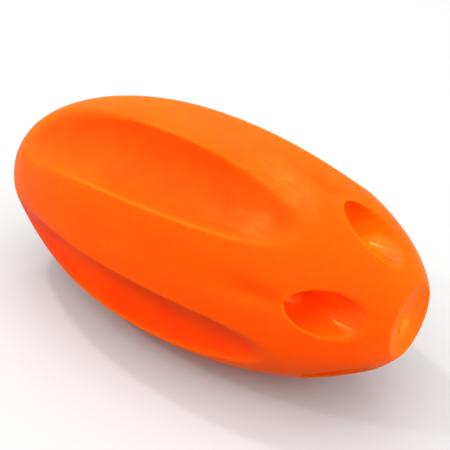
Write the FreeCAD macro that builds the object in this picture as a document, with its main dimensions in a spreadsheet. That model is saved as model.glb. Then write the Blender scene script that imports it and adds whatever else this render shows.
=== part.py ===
import FreeCAD, Part
import math
import os
import Sketcher

# A floating training bumper: a hollow oval of soft rubber with five grip flutes, a ring of five round
# pockets near the nose, and an inflation valve in a shallow dish at the nose tip.
#
# Frame: +X from the tail to the nose, +Z up, origin on the ground below the middle of the bumper.
# The bumper lies on the two edges of its lowest flute, with one pocket straight up.
# Inside each body the oval's centre is the local origin, and the body's Placement sets it on the ground.

DIMENSIONS = {
    # outer oval
    "body_radius": 35.0,
    "body_half_length": 74.3,
    # grip flutes: each has the shape of a long round bar, bowed so that both its ends lean towards the
    # bumper's axis, most at the tail; the crown is where the bar is farthest from the axis
    "flute_count": 5,
    "flute_bar_radius": 15.0,
    "flute_bow_radius": 550.0,
    "flute_crown_x": 20.0,
    "flute_crown_distance": 43.2,
    "flute_edge_radius": 1.0,
    # pockets: round-ended blind holes in the lands between the flutes, open towards the nose
    "pocket_radius": 5.8,
    "pocket_end_x": 49.0,
    "pocket_end_distance": 20.3,
    "pocket_tilt": 3.0,
    "pocket_length": 45.0,
    "pocket_edge_radius": 0.3,
    # dish in the nose tip
    "nose_x": 71.2,
    "dish_depth": 2.2,
    "dish_edge_radius": 0.8,
    # air space inside
    "cavity_radius": 21.5,
    "cavity_half_length": 52.0,
    "cavity_centre_x": -8.0,
    # inflation valve, set a little below the middle of the dish
    "valve_drop": 2.3,
    "flange_radius": 7.0,
    "flange_thickness": 2.5,
    "flange_front_x": 48.4,
    "barrel_radius": 4.5,
    "barrel_front_x": 66.0,
    "core_radius": 2.3,
    "core_face_x": 69.6,
    "core_face_edge": 0.5,
    "bead_radius": 3.2,
    "bead_length": 3.0,
    "bead_tip_radius": 1.8,
    "needle_radius": 1.0,
    "needle_depth": 17.0,
    # where the middle of the whole length lies and how high the oval's centre is above the ground;
    # both are measured on the finished shell
    "middle_x": 0.0,
    "rest_height": 0.0,
}

FULL_TURN = 360
# A point counts as on the oval within this share of the oval's size
OVAL_TOLERANCE = 0.001
# Edges shorter than this are the point-like edges at a pole, and places nearer than this are the same
SAME_PLACE = 0.01
# Points looked at along an edge
EDGE_SAMPLES = 9
# The numbers by which a sketch knows its own origin, and the ends and centres of its lines and circles
ORIGIN = -1
LINE_START = 1
LINE_END = 2
CIRCLE_CENTRE = 3
# Degrees through which a flute's section swings, enough to pass right through the oval
FLUTE_SWING = 30

# Derived sizes, as formulas in the sheet's names
HALF_PITCH = "180 / dims.flute_count"
DISH_RIM = "(dims.body_radius * sqrt(1 - (dims.nose_x / dims.body_half_length)^2))"
DISH_RADIUS = f"(({DISH_RIM}^2 + dims.dish_depth^2) / (2 * dims.dish_depth))"
FLANGE_BACK_X = "(dims.flange_front_x - dims.flange_thickness)"


def make_sheet(doc):
    """Driving dimensions, in millimetres and degrees."""
    sheet = doc.addObject("Spreadsheet::Sheet", "dims")
    for row, (alias, value) in enumerate(DIMENSIONS.items(), start=1):
        sheet.set(f"A{row}", alias.replace("_", " "))
        sheet.set(f"B{row}", str(value))
        sheet.setAlias(f"B{row}", alias)
    doc.recompute()


def bind(feature, **formulas):
    """Tie a feature's properties to formulas of the sheet."""
    for name, formula in formulas.items():
        feature.setExpression(name, formula)


def length(formula):
    """A formula of plain numbers as a length."""
    return f"({formula}) * 1mm"


def along_x(x="0", distance="0", tilt="0", turn="0"):
    """Placement formula: local +Z laid along +X, tilted outwards, then turned about the bumper's axis."""
    about_axis = f"placement(vector(0; 0; 0); rotation(vector(1; 0; 0); {turn}))"
    laid_down = f"placement(vector({x}; 0; {distance}); rotation(vector(0; 1; 0); 90 - {tilt}))"
    return f"{about_axis} * {laid_down}"


def new_body(doc, label, drop="0"):
    """An empty body, set on the ground, with its own axis a drop below the bumper's."""
    body = doc.addObject("PartDesign::Body", label)
    body.Label = label
    place = f"vector(-dims.middle_x; 0; dims.rest_height - {drop})"
    bind(body, Placement=f"placement({place}; rotation(vector(0; 0; 1); 0))")
    return body


def origin_feature(body, role):
    for feature in body.Origin.OriginFeatures:
        if feature.Role == role:
            return feature
    raise RuntimeError(f"{body.Label} has no {role}")


def add_primitive(body, kind, name, **formulas):
    """Add a solid shape to the body, or cut one from it."""
    feature = body.newObject(f"PartDesign::{kind}", name)
    bind(feature, **formulas)
    body.Tip = feature
    body.Document.recompute()
    return feature


def repeat_round_axis(body, originals, name):
    """Repeat features about the bumper's axis, once per flute."""
    pattern = body.newObject("PartDesign::PolarPattern", name)
    pattern.Originals = originals
    pattern.Axis = (origin_feature(body, "X_Axis"), [""])
    pattern.Angle = FULL_TURN
    bind(pattern, Occurrences="dims.flute_count")
    body.Tip = pattern
    body.Document.recompute()
    return pattern


def round_edges(body, base, is_wanted, radius, name):
    """Round those edges of a feature that a test picks out."""
    names = [f"Edge{number}" for number, edge in enumerate(base.Shape.Edges, start=1) if is_wanted(edge)]
    if not names:
        raise RuntimeError(f"{name}: no edge to round")
    fillet = body.newObject("PartDesign::Fillet", name)
    fillet.Base = (base, names)
    bind(fillet, Radius=length(radius))
    body.Tip = fillet
    body.Document.recompute()
    return fillet


def edge_points(edge):
    """Points along an edge, or none for the point-like edge at a pole."""
    if edge.Length < SAME_PLACE:
        return []
    return edge.discretize(EDGE_SAMPLES)


def is_on_oval(point):
    level = (point.x / DIMENSIONS["body_half_length"]) ** 2
    level += (point.y ** 2 + point.z ** 2) / DIMENSIONS["body_radius"] ** 2
    return abs(level - 1.0) < OVAL_TOLERANCE


def is_rim(edge):
    """True for an edge where a cut meets the oval, and false for the oval's own seam."""
    points = edge_points(edge)
    on_seam = all(abs(point.y) < SAME_PLACE for point in points)
    return bool(points) and not on_seam and all(is_on_oval(point) for point in points)


def is_pocket_rim(edge):
    rear = DIMENSIONS["pocket_end_x"]
    front = DIMENSIONS["nose_x"]
    return is_rim(edge) and all(rear < point.x < front - SAME_PLACE for point in edge_points(edge))


def is_dish_rim(edge):
    front = DIMENSIONS["nose_x"]
    return is_rim(edge) and all(abs(point.x - front) < SAME_PLACE for point in edge_points(edge))


def fix_point(sketch, geometry, position, x, y):
    """Hold a point of a sketch's geometry at formulas for its two coordinates."""
    for kind, formula in (("DistanceX", x), ("DistanceY", y)):
        index = sketch.addConstraint(Sketcher.Constraint(kind, ORIGIN, 1, geometry, position, 1.0))
        label = f"{kind}_{geometry}_{position}"
        sketch.renameConstraint(index, label)
        sketch.setExpression(f"Constraints.{label}", length(formula))


def cut_flute(body):
    """Cut one flute: the bar's round section, swung about a far line that lies across the bumper."""
    sketch = body.newObject("Sketcher::SketchObject", "flute_section")
    sketch.AttachmentSupport = (origin_feature(body, "YZ_Plane"), [""])
    sketch.MapMode = "FlatFace"
    at_crown = f"placement(vector(0; 0; dims.flute_crown_x); rotation(vector(0; 0; 1); {HALF_PITCH}))"
    bind(sketch, AttachmentOffset=at_crown)
    section = sketch.addGeometry(Part.Circle())
    fix_point(sketch, section, CIRCLE_CENTRE, "0", "dims.flute_crown_distance")
    radius = sketch.addConstraint(Sketcher.Constraint("Radius", section, 1.0))
    sketch.renameConstraint(radius, "bar_radius")
    sketch.setExpression("Constraints.bar_radius", length("dims.flute_bar_radius"))
    hinge = sketch.addGeometry(Part.LineSegment(FreeCAD.Vector(0, 0, 0), FreeCAD.Vector(1, 0, 0)), True)
    hinge_distance = "dims.flute_crown_distance - dims.flute_bow_radius"
    fix_point(sketch, hinge, LINE_START, "0", hinge_distance)
    fix_point(sketch, hinge, LINE_END, "dims.flute_bar_radius", hinge_distance)
    body.Document.recompute()
    flute = body.newObject("PartDesign::Groove", "flute")
    flute.Profile = sketch
    flute.ReferenceAxis = (sketch, ["Axis0"])
    flute.Midplane = True
    flute.Angle = FLUTE_SWING
    body.Tip = flute
    body.Document.recompute()
    return flute


def make_shell(doc):
    """The rubber moulding: the whole outside, and the air space with the valve's seat."""
    body = new_body(doc, "bumper_shell")
    add_primitive(
        body, "AdditiveEllipsoid", "oval",
        Radius1=length("dims.body_half_length"),
        Radius2=length("dims.body_radius"),
        Radius3=length("dims.body_radius"),
        Placement=along_x(),
    )

    flute = cut_flute(body)
    flutes = repeat_round_axis(body, [flute], "flutes")
    round_edges(body, flutes, is_rim, "dims.flute_edge_radius", "flute_edges")

    pocket_place = along_x("dims.pocket_end_x", "dims.pocket_end_distance", "dims.pocket_tilt")
    barrel = add_primitive(
        body, "SubtractiveCylinder", "pocket_barrel",
        Radius=length("dims.pocket_radius"),
        Height=length("dims.pocket_length"),
        Placement=pocket_place,
    )
    round_end = add_primitive(
        body, "SubtractiveSphere", "pocket_round_end",
        Radius=length("dims.pocket_radius"),
        Placement=pocket_place,
    )
    pockets = repeat_round_axis(body, [barrel, round_end], "pockets")
    round_edges(body, pockets, is_pocket_rim, "dims.pocket_edge_radius", "pocket_edges")

    dish = add_primitive(
        body, "SubtractiveSphere", "nose_dish",
        Radius=length(DISH_RADIUS),
        Placement=along_x(f"dims.nose_x - dims.dish_depth + {DISH_RADIUS}"),
    )
    round_edges(body, dish, is_dish_rim, "dims.dish_edge_radius", "dish_edge")

    add_primitive(
        body, "SubtractiveEllipsoid", "air_space",
        Radius1=length("dims.cavity_half_length"),
        Radius2=length("dims.cavity_radius"),
        Radius3=length("dims.cavity_radius"),
        Placement=along_x("dims.cavity_centre_x"),
    )
    add_primitive(
        body, "SubtractiveCylinder", "flange_recess",
        Radius=length("dims.flange_radius"),
        Height=length("dims.flange_front_x - dims.cavity_centre_x"),
        Placement=along_x("dims.cavity_centre_x", "-dims.valve_drop"),
    )
    add_primitive(
        body, "SubtractiveCylinder", "barrel_seat",
        Radius=length("dims.barrel_radius"),
        Height=length("dims.barrel_front_x - dims.cavity_centre_x"),
        Placement=along_x("dims.cavity_centre_x", "-dims.valve_drop"),
    )
    add_primitive(
        body, "SubtractiveCylinder", "core_hole",
        Radius=length("dims.core_radius"),
        Height=length("dims.nose_x - dims.cavity_centre_x"),
        Placement=along_x("dims.cavity_centre_x", "-dims.valve_drop"),
    )
    return body


def settle_on_ground(doc, shell):
    """Measure the finished shell, so that its lowest points touch the ground below the frame's origin."""
    box = shell.Tip.Shape.optimalBoundingBox(False, False)
    sheet = doc.getObject("dims")
    for alias, value in (("middle_x", (box.XMin + box.XMax) / 2), ("rest_height", -box.ZMin)):
        sheet.set(sheet.getCellFromAlias(alias), f"{value:.4f}")
    doc.recompute()


def revolve_outline(body, corners, name):
    """A turned solid about the body's own X axis, from the corners of its half section.

    Each corner is a pair of formulas, its place along the axis and its distance from the axis.
    The lines are drawn first between points spread round a circle, and the constraints then move them.
    """
    sketch = body.newObject("Sketcher::SketchObject", f"{name}_outline")
    sketch.AttachmentSupport = (origin_feature(body, "XY_Plane"), [""])
    sketch.MapMode = "FlatFace"
    turns = [2 * math.pi * number / len(corners) for number in range(len(corners))]
    places = [FreeCAD.Vector(math.cos(turn), math.sin(turn), 0) * DIMENSIONS["body_radius"] for turn in turns]
    for number, start in enumerate(places):
        end = places[(number + 1) % len(places)]
        sketch.addGeometry(Part.LineSegment(start, end))
    for number in range(len(corners)):
        following = (number + 1) % len(corners)
        sketch.addConstraint(Sketcher.Constraint("Coincident", number, LINE_END, following, LINE_START))
    for number, (x, radius) in enumerate(corners):
        fix_point(sketch, number, LINE_START, x, radius)
    body.Document.recompute()
    turned = body.newObject("PartDesign::Revolution", name)
    turned.Profile = sketch
    turned.ReferenceAxis = (origin_feature(body, "X_Axis"), [""])
    turned.Angle = FULL_TURN
    body.Tip = turned
    body.Document.recompute()
    return turned


def make_valve_housing(doc):
    """The flanged sleeve bonded inside the nose."""
    body = new_body(doc, "valve_housing", "dims.valve_drop")
    corners = [
        (FLANGE_BACK_X, "dims.core_radius"),
        (FLANGE_BACK_X, "dims.flange_radius"),
        ("dims.flange_front_x", "dims.flange_radius"),
        ("dims.flange_front_x", "dims.barrel_radius"),
        ("dims.barrel_front_x", "dims.barrel_radius"),
        ("dims.barrel_front_x", "dims.core_radius"),
    ]
    revolve_outline(body, corners, "sleeve")
    return body


def make_valve_core(doc):
    """The plug that takes the pump's needle, held by a bead behind the sleeve."""
    body = new_body(doc, "valve_core", "dims.valve_drop")
    bead_back_x = f"({FLANGE_BACK_X} - dims.bead_length)"
    channel_end_x = "(dims.core_face_x - dims.needle_depth)"
    corners = [
        (bead_back_x, "0"),
        (bead_back_x, "dims.bead_tip_radius"),
        (FLANGE_BACK_X, "dims.bead_radius"),
        (FLANGE_BACK_X, "dims.core_radius"),
        ("dims.core_face_x - dims.core_face_edge", "dims.core_radius"),
        ("dims.core_face_x", "dims.core_radius - dims.core_face_edge"),
        ("dims.core_face_x", "dims.needle_radius"),
        (channel_end_x, "dims.needle_radius"),
        (channel_end_x, "0"),
    ]
    revolve_outline(body, corners, "plug")
    return body


def check(doc, bodies):
    """Stop if any feature failed or any piece isn't one sound solid."""
    for item in doc.Objects:
        if "Invalid" in item.State or "Error" in item.State:
            raise RuntimeError(f"{item.Label} failed: {item.State}")
    for body in bodies:
        shape = body.Shape
        if shape.isNull() or not shape.isValid() or len(shape.Solids) != 1:
            raise RuntimeError(f"{body.Label} is not one valid solid")


def main():
    doc = FreeCAD.newDocument("training_bumper")
    make_sheet(doc)
    bodies = [make_shell(doc), make_valve_housing(doc), make_valve_core(doc)]
    settle_on_ground(doc, bodies[0])
    check(doc, bodies)
    sheet = doc.getObject("dims")
    print(f"middle_x {sheet.middle_x}, rest_height {sheet.rest_height}")
    os.makedirs("parts", exist_ok=True)
    for body in bodies:
        body.Shape.exportStep(f"parts/{body.Label}.step")
        box = body.Shape.BoundBox
        print(f"{body.Label}: {body.Shape.Volume:.0f} mm3, x {box.XMin:.2f} to {box.XMax:.2f},"
              f" y {box.YMin:.2f} to {box.YMax:.2f}, z {box.ZMin:.2f} to {box.ZMax:.2f}")


main()
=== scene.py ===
import math

import bmesh
import bpy
import numpy as np
from mathutils import Matrix, Vector


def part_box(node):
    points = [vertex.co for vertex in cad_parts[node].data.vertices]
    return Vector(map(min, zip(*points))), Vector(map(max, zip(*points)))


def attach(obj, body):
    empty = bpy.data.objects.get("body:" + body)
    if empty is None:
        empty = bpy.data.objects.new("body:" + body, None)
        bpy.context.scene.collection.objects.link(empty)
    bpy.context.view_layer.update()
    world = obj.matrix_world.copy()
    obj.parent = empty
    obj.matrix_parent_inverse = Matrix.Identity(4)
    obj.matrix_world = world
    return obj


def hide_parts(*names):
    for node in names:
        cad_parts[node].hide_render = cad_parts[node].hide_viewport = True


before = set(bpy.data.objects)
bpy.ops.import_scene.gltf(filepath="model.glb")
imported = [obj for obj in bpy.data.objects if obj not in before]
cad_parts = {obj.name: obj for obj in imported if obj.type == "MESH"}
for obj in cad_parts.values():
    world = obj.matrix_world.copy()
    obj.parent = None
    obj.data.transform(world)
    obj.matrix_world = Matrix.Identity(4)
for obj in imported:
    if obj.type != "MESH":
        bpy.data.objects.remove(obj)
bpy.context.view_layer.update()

# The looks of a soft rubber training bumper: a fluted oval with five pockets and a valve in the nose.
#
# All lengths are in metres. Shape functions work in the oval's own coordinates: x along the axis from the
# middle of the oval to the nose, y and z as in the frame, all from the oval's centre. Flutes and pockets
# repeat round the axis, so a point is first folded onto one land and half a flute.
#
# A pair of places or sizes says from where to where something fades in.

MM = 0.001

# Places and sizes from the frame
SHELL_LOW, SHELL_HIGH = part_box("bumper_shell")
CORE_LOW, CORE_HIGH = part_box("valve_core")
SLEEVE_LOW, SLEEVE_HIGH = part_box("valve_housing")
VALVE_DROP = 2.3 * MM
HALF_LENGTH = 74.3 * MM
AXIS_HEIGHT = (CORE_LOW.z + CORE_HIGH.z) / 2 + VALVE_DROP
BODY_RADIUS = SHELL_HIGH.z - AXIS_HEIGHT
OVAL_CENTRE = Vector((SHELL_LOW.x + HALF_LENGTH, 0.0, AXIS_HEIGHT))

# Outer form
FLUTES = 5
PITCH = 2.0 * math.pi / FLUTES
FLUTE_BAR_RADIUS = 15.0 * MM
FLUTE_BOW_RADIUS = 550.0 * MM
FLUTE_CROWN_X = 20.0 * MM
FLUTE_CROWN_DISTANCE = 43.2 * MM
POCKET_RADIUS = 5.8 * MM
POCKET_END_X = 49.0 * MM
POCKET_END_DISTANCE = 20.3 * MM
POCKET_TILT = math.radians(3.0)
NOSE_X = 71.2 * MM
DISH_DEPTH = 2.2 * MM
DISH_RIM_RADIUS = BODY_RADIUS * math.sqrt(1.0 - (NOSE_X / HALF_LENGTH) ** 2)
DISH_RADIUS = (DISH_RIM_RADIUS ** 2 + DISH_DEPTH ** 2) / (2.0 * DISH_DEPTH)

# How far each edge is rounded over: the flutes' lips more towards the tail, and the pockets' rims more
# towards the nose
LIP_SOFT = 0.6 * MM
TAIL_SOFT = 4.0 * MM
TAIL_FADE = (-12.0 * MM, -55.0 * MM)
POCKET_REAR_SOFT = 0.6 * MM
POCKET_FRONT_SOFT = 1.2 * MM
POCKET_FRONT_FADE = (50.0 * MM, 62.0 * MM)
DISH_SOFT = 0.8 * MM
INNER_SOFT = 0.2 * MM
VALVE_SEAT_SOFT = 0.06 * MM

# The shallow channel along each land, deeper and narrower where it leads into the pocket
CHANNEL_DEPTH = 0.30 * MM
CHANNEL_WIDTH = 4.5 * MM
LEAD_IN_DEPTH = 1.0 * MM
LEAD_IN_WIDTH = 2.3 * MM
CHANNEL_TAIL_FADE = (-62.0 * MM, -35.0 * MM)
CHANNEL_NOSE_FADE = (49.5 * MM, 44.0 * MM)
LEAD_IN_FADE = (22.0 * MM, 42.0 * MM)

# Inner form
CAVITY_RADIUS = 21.5 * MM
CAVITY_HALF_LENGTH = 52.0 * MM
CAVITY_X = -8.0 * MM
FLANGE_RADIUS = (SLEEVE_HIGH.z - SLEEVE_LOW.z) / 2
FLANGE_FRONT_X = 48.4 * MM
BARREL_RADIUS = 4.5 * MM
BARREL_FRONT_X = SLEEVE_HIGH.x - OVAL_CENTRE.x
CORE_RADIUS = 2.3 * MM

# The valve's plug
PLUG_GAP = 0.02 * MM
PLUG_EDGE = 0.08 * MM
PLUG_REAR_RADIUS = 1.8 * MM
BEAD_FRONT_CHAMFER = 0.5 * MM
BEAD_REAR_CHAMFER = 0.2 * MM
BEAD_FRONT_LENGTH = 0.3 * MM
DIMPLE_RADIUS = 0.5 * MM
DIMPLE_DEPTH = 0.25 * MM
PLUG_SIDES = 48
EDGE_STEPS = 6
DIMPLE_STEPS = 5

# Mesh
VOXEL = 0.9 * MM
WELD_DISTANCE = 0.001 * MM
SLOPE_STEP = 0.01 * MM
LONGEST_MOVE = 0.5 * MM
SETTLE_ROUNDS = 8
FAINT_SLOPE = 0.05
TINY = 1e-12
CREASE_ANGLE = math.radians(12.0)
CREASE_EDGES = (0.7 * MM, 0.4 * MM)
ON_WALL = 0.06 * MM

# Paler edges, partly wear and partly a painted highlight: how far it reaches, and how strong it is
LIP_WEAR_AND_HIGHLIGHT = (0.45 * MM, 0.7)
LIP_LIGHTENING_TAIL_FADE = (-35.0 * MM, 0.0 * MM)
LIP_LIGHTENING_NOSE_FADE = (42.0 * MM, 30.0 * MM)
POCKET_RIM_WEAR_AND_HIGHLIGHT = (0.45 * MM, 0.5)
DISH_RIM_WEAR_AND_HIGHLIGHT = (0.60 * MM, 0.8)

# Where the rubber's colour changes, with painted shade in the hollows and on their lower side, painted
# light in the pockets and a painted glow at the nose
HOLLOW_FADE = (0.2 * MM, 2.0 * MM)
HOLLOW_NOSE_FADE = (NOSE_X - 4.0 * MM, NOSE_X - 2.0 * MM)
UNSHADED_SIDE_FADE = (-0.3, 0.6)
POCKET_UPPER_SIDE_FADE = (0.3, 0.9)
POCKET_PALE_FADE = (66.0 * MM, 50.0 * MM)
NOSE_END_FADE = (62.0 * MM, 74.0 * MM)
NOSE_END_SHARE = 0.25
DISH_EDGE_FADE = (DISH_RIM_RADIUS + 0.5 * MM, DISH_RIM_RADIUS - 1.0 * MM)
DISH_SHARE = 0.5
VALVE_GLOW_FADE = (2.8 * CORE_RADIUS, 0.9 * CORE_RADIUS)
NOSE_FRONT_FADE = (60.0 * MM, 66.0 * MM)

# Scuffed places, paler partly from scuffing and partly from a painted sheen: along the axis, angle from
# the top towards +y, reach, strength
SCUFF_AND_SHEEN_PLACES = (
    (34.5 * MM, -40.0, 6.5 * MM, 1.0),
    (28.0 * MM, -41.0, 5.0 * MM, 0.6),
    (21.0 * MM, -43.0, 5.0 * MM, 0.4),
    (28.0 * MM, -9.5, 8.0 * MM, 0.5),
    (34.3 * MM, -12.5, 8.0 * MM, 0.9),
    (40.0 * MM, -16.0, 7.0 * MM, 1.0),
    (44.5 * MM, -20.0, 4.5 * MM, 0.8),
    (-14.0 * MM, -38.0, 5.0 * MM, 0.3),
    (22.0 * MM, 58.0, 7.0 * MM, 0.7),
    (-38.0 * MM, 76.0, 8.0 * MM, 0.6),
    (10.0 * MM, 141.0, 8.0 * MM, 0.7),
    (-30.0 * MM, -152.0, 7.0 * MM, 0.6),
    (-66.0 * MM, 20.0, 6.0 * MM, 0.5),
)
SCUFF_AND_SHEEN_FADE = (1.0, 0.2)

# Colours
LAND_ORANGE = (0.95, 0.067, 0.0010)
# Hollows darker, and darker still on their lower side: painted shade; the hollows' orange also darkens
# the random grain
HOLLOW_SHADE_AND_GRAIN_ORANGE = (0.95, 0.051, 0.0005)
SHADED_ORANGE = (0.92, 0.038, 0.0005)
# Paler orange: along the edges partly wear and partly a painted highlight, elsewhere random mottling
PALE_ORANGE = (0.96, 0.115, 0.0025)
# Scuffs: paler partly from scuffing and partly from a painted sheen
SCUFF_AND_SHEEN_ORANGE = (0.96, 0.108, 0.0080)
# Lighter orange at the nose, dish and valve: a painted glow
NOSE_GLOW_ORANGE = (0.88, 0.155, 0.0015)
# Pockets a little lighter, most at the upper pockets' inner ends: painted light
POCKET_ORANGE = (0.97, 0.078, 0.0010)
POCKET_LIT_ORANGE = (0.97, 0.180, 0.0020)
SPECK_BROWN = (0.22, 0.012, 0.0010)
PLUG_ORANGES = ((0.80, 0.150, 0.0020), (0.84, 0.170, 0.0030))
SLEEVE_ORANGES = ((0.50, 0.05, 0.004), (0.60, 0.08, 0.008))
GLOSS_TINT = (1.0, 0.75, 0.30)
POCKET_GLOSS_TINT = (1.0, 0.70, 0.15)
EDGE_PALENESS = 0.75
MOTTLING = (0.0, 0.18)
GRAININESS = (0.0, 0.10)
STREAKINESS = (0.10, 0.90)
FLOOR_GREY = (0.38, 0.38, 0.38)
WHITE = (1.0, 1.0, 1.0)

# Rubber: how far red, green and blue light travel in it, and how rough its skin is
RUBBER_IOR = 1.5
GLOW_RADIUS = (1.0, 0.42, 0.08)
PLUG_GLOW_RADIUS = (1.0, 0.7, 0.2)
SATIN = (0.43, 0.57)
POLISHED = (0.10, 0.13)
PLUG_SATIN = (0.35, 0.5)
MATTE = (0.6, 0.8)
SCUFF_ROUGHNESS = 0.08
FLOOR_ROUGHNESS = 0.9

# The part of a noise texture's range that it mostly keeps to, and narrower parts for patches and grains
NOISE_RANGE = (0.3, 0.7)
PATCH_RANGE = (0.35, 0.65)
GRAIN_RANGE = (0.40, 0.75)

# Studio
SKY_ZENITH = (0.10, -0.22, 0.96)
ZENITH_STRENGTH = 3.7
GROUND_STRENGTH = 0.45
GROUND_EDGE = -0.3
SKY_FALLOFF = 2.8
LAMP_DISTANCE = 0.9
FLOOR_HALF_WIDTH = 1.5

# Round lamps: name, direction from the bumper, diameter, power
LAMPS = (
    ("key", (-0.44, -0.03, 0.90), 0.055, 2.4),
    ("near_lamp", (-0.45, -0.54, 0.70), 0.05, 1.6),
    ("far_lamp", (-0.41, 0.65, 0.64), 0.05, 0.7),
    ("nose_fill", (0.88, 0.0, 0.47), 0.6, 3.5),
)

# The camera stands about seven body radii from the oval's centre, above the nose's right side
CAMERA_PLACE = (4.005, -4.746, 3.671)
CAMERA_AZIMUTH = math.radians(38.10)
CAMERA_ELEVATION = math.radians(30.48)
CAMERA_ROLL = math.radians(2.00)
CAMERA_LENS = 67.35
CAMERA_NEAR = 0.01


def smooth_step(low, high, value):
    t = np.clip((value - low) / (high - low), 0.0, 1.0)
    return t * t * (3.0 - 2.0 * t)


# Shape


def cut(body, tool, soft):
    """Distance field of a body with a tool's shape cut out, its edge rounded over the given width."""
    blend = np.maximum(soft - np.abs(body + tool), 0.0) / soft
    return np.maximum(body, -tool) + blend * blend * soft / 4.0


def oval(x, r, half_length, radius):
    """Distance to an oval of revolution, close to exact near its surface."""
    level = np.sqrt((x / half_length) ** 2 + (r / radius) ** 2)
    slope = np.sqrt((x / half_length ** 2) ** 2 + (r / radius ** 2) ** 2)
    return level * (level - 1.0) / np.maximum(slope, 1e-9)


def folded(points):
    """Axial place, distance from the axis, and the section folded onto one land and half a flute."""
    x, y, z = points.T
    r = np.hypot(y, z)
    angle = np.arctan2(y, z)
    angle = np.abs(angle - PITCH * np.round(angle / PITCH))
    return x, r, r * np.cos(angle), r * np.sin(angle)


def flute_bar(x, up, side):
    """Distance to the bowed round bar that has the shape of a flute."""
    turn = PITCH / 2.0
    toward = up * math.cos(turn) + side * math.sin(turn)
    across = side * math.cos(turn) - up * math.sin(turn)
    from_hinge = np.hypot(x - FLUTE_CROWN_X, toward - FLUTE_CROWN_DISTANCE + FLUTE_BOW_RADIUS)
    return np.hypot(from_hinge - FLUTE_BOW_RADIUS, across) - FLUTE_BAR_RADIUS


def pocket_bore(x, up, side):
    """Distance to the round-ended bore of a pocket."""
    forward = (x - POCKET_END_X) * math.cos(POCKET_TILT)
    outward = (up - POCKET_END_DISTANCE) * math.sin(POCKET_TILT)
    along = np.maximum(forward + outward, 0.0)
    near_x = POCKET_END_X + along * math.cos(POCKET_TILT)
    near_up = POCKET_END_DISTANCE + along * math.sin(POCKET_TILT)
    return np.sqrt((x - near_x) ** 2 + (up - near_up) ** 2 + side ** 2) - POCKET_RADIUS


def dish_ball(x, r):
    """Distance to the ball that hollows the nose dish."""
    return np.hypot(x - (NOSE_X - DISH_DEPTH + DISH_RADIUS), r) - DISH_RADIUS


def channel(x, side):
    """Depth of the shallow channel that runs along each land up to the rear of its pocket."""
    present = smooth_step(*CHANNEL_TAIL_FADE, x) * smooth_step(*CHANNEL_NOSE_FADE, x)
    near_pocket = smooth_step(*LEAD_IN_FADE, x)
    depth = CHANNEL_DEPTH + (LEAD_IN_DEPTH - CHANNEL_DEPTH) * near_pocket
    width = CHANNEL_WIDTH + (LEAD_IN_WIDTH - CHANNEL_WIDTH) * near_pocket
    return depth * present * np.exp(-(side / width) ** 2)


def outer_skin(x, r, up, side):
    """Field of the moulding's outside: oval, channels, flutes, pockets and the nose dish."""
    field = oval(x, r, HALF_LENGTH, BODY_RADIUS) + channel(x, side)
    lip_soft = LIP_SOFT + (TAIL_SOFT - LIP_SOFT) * smooth_step(*TAIL_FADE, x)
    field = cut(field, flute_bar(x, up, side), lip_soft)
    front_share = smooth_step(*POCKET_FRONT_FADE, x)
    rim_soft = POCKET_REAR_SOFT + (POCKET_FRONT_SOFT - POCKET_REAR_SOFT) * front_share
    field = cut(field, pocket_bore(x, up, side), rim_soft)
    return cut(field, dish_ball(x, r), DISH_SOFT)


def bar_from_middle(x, r, front, radius):
    """Distance to a round bar that runs forward from the air space."""
    return np.maximum(r - radius, np.maximum(x - front, CAVITY_X - x))


def moulding(points):
    """Field of the whole hollow moulding."""
    x, r, up, side = folded(points)
    field = outer_skin(x, r, up, side)
    field = cut(field, oval(x - CAVITY_X, r, CAVITY_HALF_LENGTH, CAVITY_RADIUS), INNER_SOFT)
    from_valve = np.hypot(points[:, 1], points[:, 2] + VALVE_DROP)
    for front, radius, soft in (
        (FLANGE_FRONT_X, FLANGE_RADIUS, INNER_SOFT),
        (BARREL_FRONT_X, BARREL_RADIUS, INNER_SOFT),
        (NOSE_X, CORE_RADIUS, VALVE_SEAT_SOFT),
    ):
        field = cut(field, bar_from_middle(x, from_valve, front, radius), soft)
    return field


# Mesh


def gradient(field, points):
    slopes = []
    for axis in range(3):
        shift = np.zeros(3)
        shift[axis] = SLOPE_STEP
        slopes.append((field(points + shift) - field(points - shift)) / (2.0 * SLOPE_STEP))
    return np.stack(slopes, axis=1)


def settle(field, points):
    """Move points onto the surface where the field is zero."""
    points = points.copy()
    for _ in range(SETTLE_ROUNDS):
        slope = gradient(field, points)
        # Where the slope is faint, at a ridge of the field, the step is held back
        size = np.maximum((slope ** 2).sum(axis=1), FAINT_SLOPE)
        move = -field(points)[:, None] * slope / size[:, None]
        reach = np.linalg.norm(move, axis=1)
        points += move * np.minimum(1.0, LONGEST_MOVE / np.maximum(reach, TINY))[:, None]
    return points


def read_points(mesh):
    """The mesh's corners, from the oval's centre."""
    co = np.empty(len(mesh.vertices) * 3)
    mesh.vertices.foreach_get("co", co)
    return co.reshape(-1, 3) - np.array(OVAL_CENTRE)


def write_points(mesh, points):
    mesh.vertices.foreach_set("co", (points + np.array(OVAL_CENTRE)).astype(np.float32).ravel())
    mesh.update()


def unit(vectors):
    return vectors / np.maximum(np.linalg.norm(vectors, axis=1), TINY)[:, None]


def even_mesh(source, voxel):
    """A closed mesh of even quads over a CAD node's solid."""
    mesh = source.data.copy()
    shape = bmesh.new()
    shape.from_mesh(mesh)
    bmesh.ops.remove_doubles(shape, verts=shape.verts, dist=WELD_DISTANCE)
    shape.to_mesh(mesh)
    shape.free()
    rough = bpy.data.objects.new("rough", mesh)
    bpy.context.scene.collection.objects.link(rough)
    remesh = rough.modifiers.new("even", "REMESH")
    remesh.mode = "VOXEL"
    remesh.voxel_size = voxel
    graph = bpy.context.evaluated_depsgraph_get()
    even = bpy.data.meshes.new_from_object(rough.evaluated_get(graph))
    bpy.data.objects.remove(rough)
    return even


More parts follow.
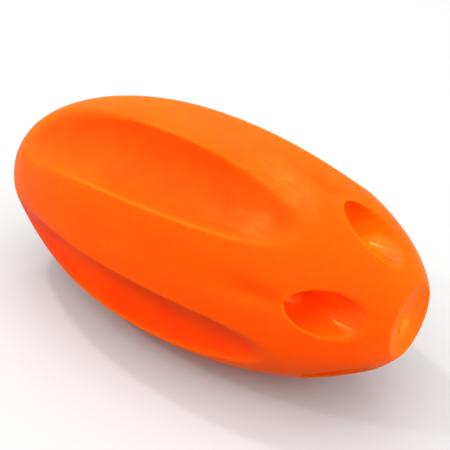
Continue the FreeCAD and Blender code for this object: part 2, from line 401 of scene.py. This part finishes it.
def refine_creases(mesh, field, bend, shortest):
    """Split the edges across which the surface turns by more than an angle."""
    points = read_points(mesh)
    normals = unit(gradient(field, points))
    ends = np.empty(len(mesh.edges) * 2, dtype=np.int32)
    mesh.edges.foreach_get("vertices", ends)
    first, second = ends.reshape(-1, 2).T
    turn = (normals[first] * normals[second]).sum(axis=1)
    span = np.linalg.norm(points[first] - points[second], axis=1)
    chosen = np.nonzero((turn < math.cos(bend)) & (span > shortest))[0]
    shape = bmesh.new()
    shape.from_mesh(mesh)
    shape.edges.ensure_lookup_table()
    edges = [shape.edges[i] for i in chosen]
    bmesh.ops.subdivide_edges(shape, edges=edges, cuts=1, use_grid_fill=True)
    shape.to_mesh(mesh)
    shape.free()
    write_points(mesh, settle(field, read_points(mesh)))


def drop_loose_corners(mesh):
    """Take out the corners where only two edges meet, whose two triangles could lie back to back."""
    shape = bmesh.new()
    shape.from_mesh(mesh)
    loose = [vert for vert in shape.verts if len(vert.link_edges) == 2]
    bmesh.ops.dissolve_verts(shape, verts=loose)
    shape.to_mesh(mesh)
    shape.free()


# Where the rubber is worn or scuffed, and where shade, light, highlights, sheen and glow are painted into
# its colour


def crease_wear_and_highlight(points):
    """One along the flutes' lips and the rims of pockets and dish, fading to none beside them; the paler
    colour there is partly wear and partly a painted highlight.
    """
    x, r, up, side = folded(points)
    from_oval = oval(x, r, HALF_LENGTH, BODY_RADIUS) + channel(x, side)
    lip_share = smooth_step(*LIP_LIGHTENING_TAIL_FADE, x) * smooth_step(*LIP_LIGHTENING_NOSE_FADE, x)
    wear_and_highlight = np.zeros(len(points))
    for tool, (reach, strength), share in (
        (flute_bar(x, up, side), LIP_WEAR_AND_HIGHLIGHT, lip_share),
        (pocket_bore(x, up, side), POCKET_RIM_WEAR_AND_HIGHLIGHT, 1.0),
        (dish_ball(x, r), DISH_RIM_WEAR_AND_HIGHLIGHT, 1.0),
    ):
        near = np.exp(-(from_oval ** 2 + tool ** 2) / reach ** 2)
        wear_and_highlight = np.maximum(wear_and_highlight, strength * share * near)
    return wear_and_highlight


def hollow_shade_share(points):
    """None on the lands, rising to one a little below them in the flutes and pockets, where it darkens
    the colour as painted shade.
    """
    x, r, up, side = folded(points)
    depth = -oval(x, r, HALF_LENGTH, BODY_RADIUS)
    in_dish = smooth_step(*HOLLOW_NOSE_FADE, x) * (r < DISH_RIM_RADIUS)
    return smooth_step(*HOLLOW_FADE, depth) * (1.0 - in_dish)


def scuff_and_sheen_share(points):
    """One in the middle of each scuffed place, whose paler, whiter colour is partly scuffing and partly a
    painted sheen.
    """
    x, y, z = points.T
    angle = np.degrees(np.arctan2(y, z))
    r = np.hypot(y, z)
    share = np.zeros(len(points))
    for place, turn, reach, strength in SCUFF_AND_SHEEN_PLACES:
        away = (angle - turn + 180.0) % 360.0 - 180.0
        across = np.radians(away) * r
        distance = np.hypot(x - place, across) / reach
        share = np.maximum(share, strength * smooth_step(*SCUFF_AND_SHEEN_FADE, distance))
    return share


def faces_up(points, low, high):
    """One on the upper side of the bumper and none on its lower side, between two heights in radii."""
    r = np.hypot(points[:, 1], points[:, 2])
    return smooth_step(low, high, points[:, 2] / np.maximum(r, MM))


def pocket_painted_light_share(points):
    """One at the inner ends of the pockets that face up, where the colour is made paler as painted light.
    """
    return faces_up(points, *POCKET_UPPER_SIDE_FADE) * smooth_step(*POCKET_PALE_FADE, points[:, 0])


def nose_glow_share(points):
    """Painted glow: a little at the nose's end, more in the dish, and one at the valve."""
    x, y, z = points.T
    at_end = NOSE_END_SHARE * smooth_step(*NOSE_END_FADE, x)
    in_dish = DISH_SHARE * smooth_step(*DISH_EDGE_FADE, np.hypot(y, z))
    at_valve = smooth_step(*VALVE_GLOW_FADE, np.hypot(y, z + VALVE_DROP))
    return np.maximum(at_end, np.maximum(in_dish, at_valve) * smooth_step(*NOSE_FRONT_FADE, x))


# Pieces


def make_skin():
    """The whole moulding as one even mesh, whose corners hold the shares that its materials read."""
    mesh = even_mesh(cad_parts["bumper_shell"], VOXEL)
    write_points(mesh, settle(moulding, read_points(mesh)))
    for shortest in CREASE_EDGES:
        refine_creases(mesh, moulding, CREASE_ANGLE, shortest)
    drop_loose_corners(mesh)
    mesh.shade_smooth()
    points = read_points(mesh)
    mesh.normals_split_custom_set_from_vertices(unit(gradient(moulding, points)))
    for name, share in (
        ("edge_wear_and_highlight", crease_wear_and_highlight(points)),
        ("hollow_shade", hollow_shade_share(points)),
        ("scuff_and_sheen", scuff_and_sheen_share(points)),
        ("nose", nose_glow_share(points)),
        ("pocket_painted_light", pocket_painted_light_share(points)),
        ("unshaded_side", faces_up(points, *UNSHADED_SIDE_FADE)),
    ):
        layer = mesh.attributes.new(name, "FLOAT", "POINT")
        layer.data.foreach_set("value", share.astype(np.float32))
    mesh.name = "bumper_skin"
    return bpy.data.objects.new("bumper_skin", mesh)


def polish_pockets(skin, glossy):
    """Give the faces on the pockets' walls the glossy finish."""
    skin.data.materials.append(glossy)
    centres = np.empty(len(skin.data.polygons) * 3)
    skin.data.polygons.foreach_get("center", centres)
    x, r, up, side = folded(centres.reshape(-1, 3) - np.array(OVAL_CENTRE))
    on_wall = (np.abs(pocket_bore(x, up, side)) < ON_WALL) & (up > 0)
    skin.data.polygons.foreach_set("material_index", on_wall.astype(np.int32))


def plug_outline():
    """Half the plug's section: places along the axis and radii, from its rear to the dimple's pit."""
    face_x = CORE_HIGH.x
    rear_x = CORE_LOW.x
    flange_x = SLEEVE_LOW.x
    bead_radius = (CORE_HIGH.z - CORE_LOW.z) / 2
    stem = CORE_RADIUS - PLUG_GAP
    outline = [
        (rear_x, 0.0),
        (rear_x, PLUG_REAR_RADIUS),
        (flange_x - BEAD_FRONT_LENGTH, bead_radius - BEAD_REAR_CHAMFER),
        (flange_x, bead_radius - BEAD_FRONT_CHAMFER),
        (flange_x, stem),
        (face_x - PLUG_EDGE, stem),
    ]
    for step in range(1, EDGE_STEPS + 1):
        angle = step * math.pi / (2.0 * EDGE_STEPS)
        x = face_x - PLUG_EDGE + PLUG_EDGE * math.sin(angle)
        outline.append((x, stem - PLUG_EDGE + PLUG_EDGE * math.cos(angle)))
    outline.append((face_x, DIMPLE_RADIUS))
    for step in range(1, DIMPLE_STEPS):
        share = step / DIMPLE_STEPS
        sink = DIMPLE_DEPTH * (1.0 - math.cos(math.pi * share)) / 2.0
        outline.append((face_x - sink, DIMPLE_RADIUS * (1.0 - share)))
    outline.append((face_x - DIMPLE_DEPTH, 0.0))
    return outline


def make_plug():
    """The valve's plug: a button whose needle hole is pinched shut to a dimple, over a plain stem."""
    height = AXIS_HEIGHT - VALVE_DROP
    shape = bmesh.new()
    rings = []
    for x, radius in plug_outline():
        if radius == 0.0:
            rings.append([shape.verts.new((x, 0.0, height))])
            continue
        ring = []
        for number in range(PLUG_SIDES):
            turn = 2.0 * math.pi * number / PLUG_SIDES
            y = radius * math.sin(turn)
            ring.append(shape.verts.new((x, y, height + radius * math.cos(turn))))
        rings.append(ring)
    for near, far in zip(rings, rings[1:]):
        for number in range(PLUG_SIDES):
            following = (number + 1) % PLUG_SIDES
            corners = [near[number % len(near)], far[number % len(far)]]
            corners += [far[following % len(far)], near[following % len(near)]]
            # At the two ends of the axis a ring is one corner, so the face is a triangle
            shape.faces.new(list(dict.fromkeys(corners)))
    bmesh.ops.recalc_face_normals(shape, faces=shape.faces)
    mesh = bpy.data.meshes.new("valve_plug")
    shape.to_mesh(mesh)
    shape.free()
    mesh.shade_smooth()
    return bpy.data.objects.new("valve_plug", mesh)


# Materials


class Shader:
    """A material and its nodes, with short calls for the kinds used here."""

    def __init__(self, name):
        self.material = bpy.data.materials.new(name)
        self.material.use_nodes = True
        self.nodes = self.material.node_tree.nodes
        self.links = self.material.node_tree.links
        self.surface = self.nodes["Principled BSDF"]
        self.places = self.nodes.new("ShaderNodeTexCoord").outputs["Object"]

    def connect(self, value, socket):
        if isinstance(value, bpy.types.NodeSocket):
            self.links.new(value, socket)
        else:
            socket.default_value = value

    def finish(self, colour, roughness, normal):
        for value, name in ((colour, "Base Color"), (roughness, "Roughness"), (normal, "Normal")):
            self.connect(value, self.surface.inputs[name])
        return self.material

    def set_rubber(self, glow, scale, gloss, tint):
        """Light that enters the rubber, and the weak gloss of its skin."""
        inputs = self.surface.inputs
        inputs["IOR"].default_value = RUBBER_IOR
        inputs["Specular IOR Level"].default_value = gloss
        inputs["Specular Tint"].default_value = (*tint, 1.0)
        inputs["Subsurface Weight"].default_value = 1.0
        inputs["Subsurface Radius"].default_value = glow
        inputs["Subsurface Scale"].default_value = scale

    def noise(self, size, detail=2.0, stretch=1.0):
        """Soft noise of about zero to one, of a feature size in metres, drawn out along x by a factor."""
        squeeze = self.nodes.new("ShaderNodeMapping")
        squeeze.inputs["Scale"].default_value = (1.0 / stretch, 1.0, 1.0)
        self.links.new(self.places, squeeze.inputs["Vector"])
        node = self.nodes.new("ShaderNodeTexNoise")
        node.inputs["Scale"].default_value = 1.0 / size
        node.inputs["Detail"].default_value = detail
        self.links.new(squeeze.outputs["Vector"], node.inputs["Vector"])
        return node.outputs["Fac"]

    def attribute(self, name):
        node = self.nodes.new("ShaderNodeAttribute")
        node.attribute_name = name
        return node.outputs["Fac"]

    def span(self, value, taken, given):
        """The value, with one range of it spread over another."""
        node = self.nodes.new("ShaderNodeMapRange")
        self.connect(value, node.inputs["Value"])
        for name, number in zip(("From Min", "From Max", "To Min", "To Max"), (*taken, *given)):
            node.inputs[name].default_value = number
        return node.outputs["Result"]

    def calculate(self, operation, first, second):
        node = self.nodes.new("ShaderNodeMath")
        node.operation = operation
        self.connect(first, node.inputs[0])
        self.connect(second, node.inputs[1])
        return node.outputs["Value"]

    def times(self, first, second):
        return self.calculate("MULTIPLY", first, second)

    def plus(self, first, second):
        return self.calculate("ADD", first, second)

    def mix(self, share, first, second):
        node = self.nodes.new("ShaderNodeMix")
        node.data_type = "RGBA"
        self.connect(share, node.inputs["Factor"])
        for value, name in ((first, "A_Color"), (second, "B_Color")):
            socket = next(item for item in node.inputs if item.identifier == name)
            self.connect((*value, 1.0) if isinstance(value, tuple) else value, socket)
        return next(item for item in node.outputs if item.identifier == "Result_Color")

    def specks(self, spacing, radius):
        """One inside small round specks strewn at about the given spacing."""
        node = self.nodes.new("ShaderNodeTexVoronoi")
        node.inputs["Scale"].default_value = 1.0 / spacing
        self.links.new(self.places, node.inputs["Vector"])
        edge = radius / spacing
        return self.span(node.outputs["Distance"], (0.6 * edge, edge), (1.0, 0.0))

    def bump(self, height, depth, under=None):
        node = self.nodes.new("ShaderNodeBump")
        node.inputs["Strength"].default_value = 1.0
        node.inputs["Distance"].default_value = depth
        self.links.new(height, node.inputs["Height"])
        if under is not None:
            self.links.new(under, node.inputs["Normal"])
        return node.outputs["Normal"]


def orange_colour(shader):
    """Lands, hollows with painted shade that is darker on their lower side, edges paler from wear and a
    painted highlight, scuffs with a painted sheen, and a painted glow at the nose, with faint mottling
    and specks.
    """
    # Painted shade: darker in the hollows, and darker still on their lower side
    hollow_shade = shader.mix(shader.attribute("unshaded_side"), SHADED_ORANGE, HOLLOW_SHADE_AND_GRAIN_ORANGE)
    colour = shader.mix(shader.attribute("hollow_shade"), LAND_ORANGE, hollow_shade)
    # Painted glow at the nose, dish and valve
    colour = shader.mix(shader.attribute("nose"), colour, NOSE_GLOW_ORANGE)
    # Paler edges: partly wear and partly a painted highlight
    edge_lightening = shader.times(shader.attribute("edge_wear_and_highlight"), EDGE_PALENESS)
    colour = shader.mix(edge_lightening, colour, PALE_ORANGE)
    cloudy = shader.span(shader.noise(14.0 * MM, detail=3.0), PATCH_RANGE, MOTTLING)
    colour = shader.mix(cloudy, colour, PALE_ORANGE)
    grainy = shader.span(shader.noise(0.9 * MM), GRAIN_RANGE, GRAININESS)
    colour = shader.mix(grainy, colour, HOLLOW_SHADE_AND_GRAIN_ORANGE)
    streaks = shader.noise(1.8 * MM, detail=3.0, stretch=3.0)
    streaky = shader.span(streaks, NOISE_RANGE, STREAKINESS)
    # Scuffs, partly a painted sheen
    colour = shader.mix(shader.times(shader.attribute("scuff_and_sheen"), streaky), colour, SCUFF_AND_SHEEN_ORANGE)
    return shader.mix(shader.specks(spacing=9.0 * MM, radius=0.30 * MM), colour, SPECK_BROWN)


def make_orange():
    """Soft translucent orange rubber with a satin skin."""
    shader = Shader("orange_rubber")
    shader.set_rubber(GLOW_RADIUS, scale=6.5 * MM, gloss=0.028, tint=GLOSS_TINT)
    patchy = shader.span(shader.noise(6.0 * MM, detail=3.0), NOISE_RANGE, SATIN)
    roughness = shader.plus(patchy, shader.times(shader.attribute("scuff_and_sheen"), SCUFF_ROUGHNESS))
    wavy = shader.bump(shader.noise(7.0 * MM, detail=1.0), depth=0.10 * MM)
    grain = shader.bump(shader.noise(0.45 * MM, detail=3.0), depth=0.012 * MM, under=wavy)
    scratches = shader.noise(0.9 * MM, detail=3.0, stretch=4.0)
    scratched = shader.times(scratches, shader.attribute("scuff_and_sheen"))
    scuffed = shader.bump(scratched, depth=0.05 * MM, under=grain)
    return shader.finish(orange_colour(shader), roughness, scuffed)


def make_glossy():
    """The pockets' walls, left glossy by the polished pins that formed them, their colour a little
    lighter as painted light.
    """
    shader = Shader("pocket_rubber")
    shader.set_rubber(GLOW_RADIUS, scale=8.0 * MM, gloss=0.26, tint=POCKET_GLOSS_TINT)
    # Painted light: paler at the upper pockets' inner ends
    colour = shader.mix(shader.attribute("pocket_painted_light"), POCKET_ORANGE, POCKET_LIT_ORANGE)
    roughness = shader.span(shader.noise(4.0 * MM), NOISE_RANGE, POLISHED)
    wavy = shader.bump(shader.noise(9.0 * MM, detail=1.0), depth=0.005 * MM)
    return shader.finish(colour, roughness, wavy)


def make_plug_rubber():
    """Paler and more translucent rubber for the valve's plug."""
    shader = Shader("valve_plug_rubber")
    shader.set_rubber(PLUG_GLOW_RADIUS, scale=3.0 * MM, gloss=0.025, tint=GLOSS_TINT)
    cloudy = shader.span(shader.noise(2.0 * MM, detail=3.0), NOISE_RANGE, (0.0, 1.0))
    roughness = shader.span(shader.noise(1.0 * MM), NOISE_RANGE, PLUG_SATIN)
    grain = shader.bump(shader.noise(0.4 * MM), depth=0.01 * MM)
    return shader.finish(shader.mix(cloudy, *PLUG_ORANGES), roughness, grain)


def make_sleeve_rubber():
    """Matte dark orange rubber for the sleeve inside the nose."""
    shader = Shader("valve_sleeve_rubber")
    colour = shader.mix(shader.noise(2.5 * MM, detail=3.0), *SLEEVE_ORANGES)
    roughness = shader.span(shader.noise(1.5 * MM), NOISE_RANGE, MATTE)
    grain = shader.bump(shader.noise(0.5 * MM), depth=0.02 * MM)
    return shader.finish(colour, roughness, grain)


def add_piece(piece, material, slot, *nodes):
    bpy.context.scene.collection.objects.link(piece)
    piece.data.materials.clear()
    piece.data.materials.append(material)
    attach(piece, "root")
    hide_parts(*nodes)


def repaint(node, material):
    """Give a CAD node that stays a better material."""
    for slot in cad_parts[node].material_slots:
        slot.material = material


# Stage


def make_floor():
    mesh = bpy.data.meshes.new("floor")
    half = FLOOR_HALF_WIDTH
    corners = [(-half, -half, 0.0), (half, -half, 0.0), (half, half, 0.0), (-half, half, 0.0)]
    mesh.from_pydata(corners, [], [(0, 1, 2, 3)])
    floor = bpy.data.objects.new("floor", mesh)
    bpy.context.scene.collection.objects.link(floor)
    shader = Shader("pale_floor")
    shader.surface.inputs["Base Color"].default_value = (*FLOOR_GREY, 1.0)
    shader.surface.inputs["Roughness"].default_value = FLOOR_ROUGHNESS
    mesh.materials.append(shader.material)
    # The bumper's underside is lit by the sky's lower half, as if the floor were not there
    floor.visible_diffuse = False


def look_along(forward, roll=0.0):
    turn = forward.to_track_quat("-Z", "Y").to_matrix().to_4x4()
    return turn @ Matrix.Rotation(roll, 4, "Z")


def add_lamp(name, toward_lamp, size, power):
    data = bpy.data.lights.new(name, "AREA")
    data.shape = "DISK"
    data.size = size
    data.energy = power
    lamp = bpy.data.objects.new(name, data)
    direction = Vector(toward_lamp).normalized()
    place = OVAL_CENTRE + direction * LAMP_DISTANCE
    lamp.matrix_world = Matrix.Translation(place) @ look_along(-direction)
    bpy.context.scene.collection.objects.link(lamp)


def make_sky():
    """A studio sky that is brightest overhead and a little towards the camera's side."""
    world = bpy.data.worlds.new("studio")
    world.use_nodes = True
    nodes, links = world.node_tree.nodes, world.node_tree.links
    toward_zenith = nodes.new("ShaderNodeVectorMath")
    toward_zenith.operation = "DOT_PRODUCT"
    toward_zenith.inputs[1].default_value = Vector(SKY_ZENITH).normalized()
    links.new(nodes.new("ShaderNodeTexCoord").outputs["Generated"], toward_zenith.inputs[0])
    height = nodes.new("ShaderNodeMapRange")
    height.inputs["From Min"].default_value = GROUND_EDGE
    links.new(toward_zenith.outputs["Value"], height.inputs["Value"])
    falloff = nodes.new("ShaderNodeMath")
    falloff.operation = "POWER"
    falloff.inputs[1].default_value = SKY_FALLOFF
    links.new(height.outputs["Result"], falloff.inputs[0])
    strength = nodes.new("ShaderNodeMath")
    strength.operation = "MULTIPLY_ADD"
    strength.inputs[1].default_value = ZENITH_STRENGTH - GROUND_STRENGTH
    strength.inputs[2].default_value = GROUND_STRENGTH
    links.new(falloff.outputs["Value"], strength.inputs[0])
    links.new(strength.outputs["Value"], nodes["Background"].inputs["Strength"])
    nodes["Background"].inputs["Color"].default_value = (*WHITE, 1.0)
    bpy.context.scene.world = world


def make_camera():
    data = bpy.data.cameras.new("camera")
    data.lens = CAMERA_LENS
    data.clip_start = CAMERA_NEAR
    camera = bpy.data.objects.new("camera", data)
    forward = Vector((
        -math.sin(CAMERA_AZIMUTH) * math.cos(CAMERA_ELEVATION),
        math.cos(CAMERA_AZIMUTH) * math.cos(CAMERA_ELEVATION),
        -math.sin(CAMERA_ELEVATION),
    ))
    place = OVAL_CENTRE + BODY_RADIUS * Vector(CAMERA_PLACE)
    camera.matrix_world = Matrix.Translation(place) @ look_along(forward, CAMERA_ROLL)
    bpy.context.scene.collection.objects.link(camera)
    bpy.context.scene.camera = camera


skin = make_skin()
add_piece(skin, make_orange(), "orange_rubber", "bumper_shell")
polish_pockets(skin, make_glossy())
add_piece(make_plug(), make_plug_rubber(), "valve_plug_rubber", "valve_core")
repaint("valve_housing", make_sleeve_rubber())
make_floor()
make_sky()
for lamp_facts in LAMPS:
    add_lamp(*lamp_facts)
make_camera()
bpy.context.scene.view_settings.view_transform = "Standard"
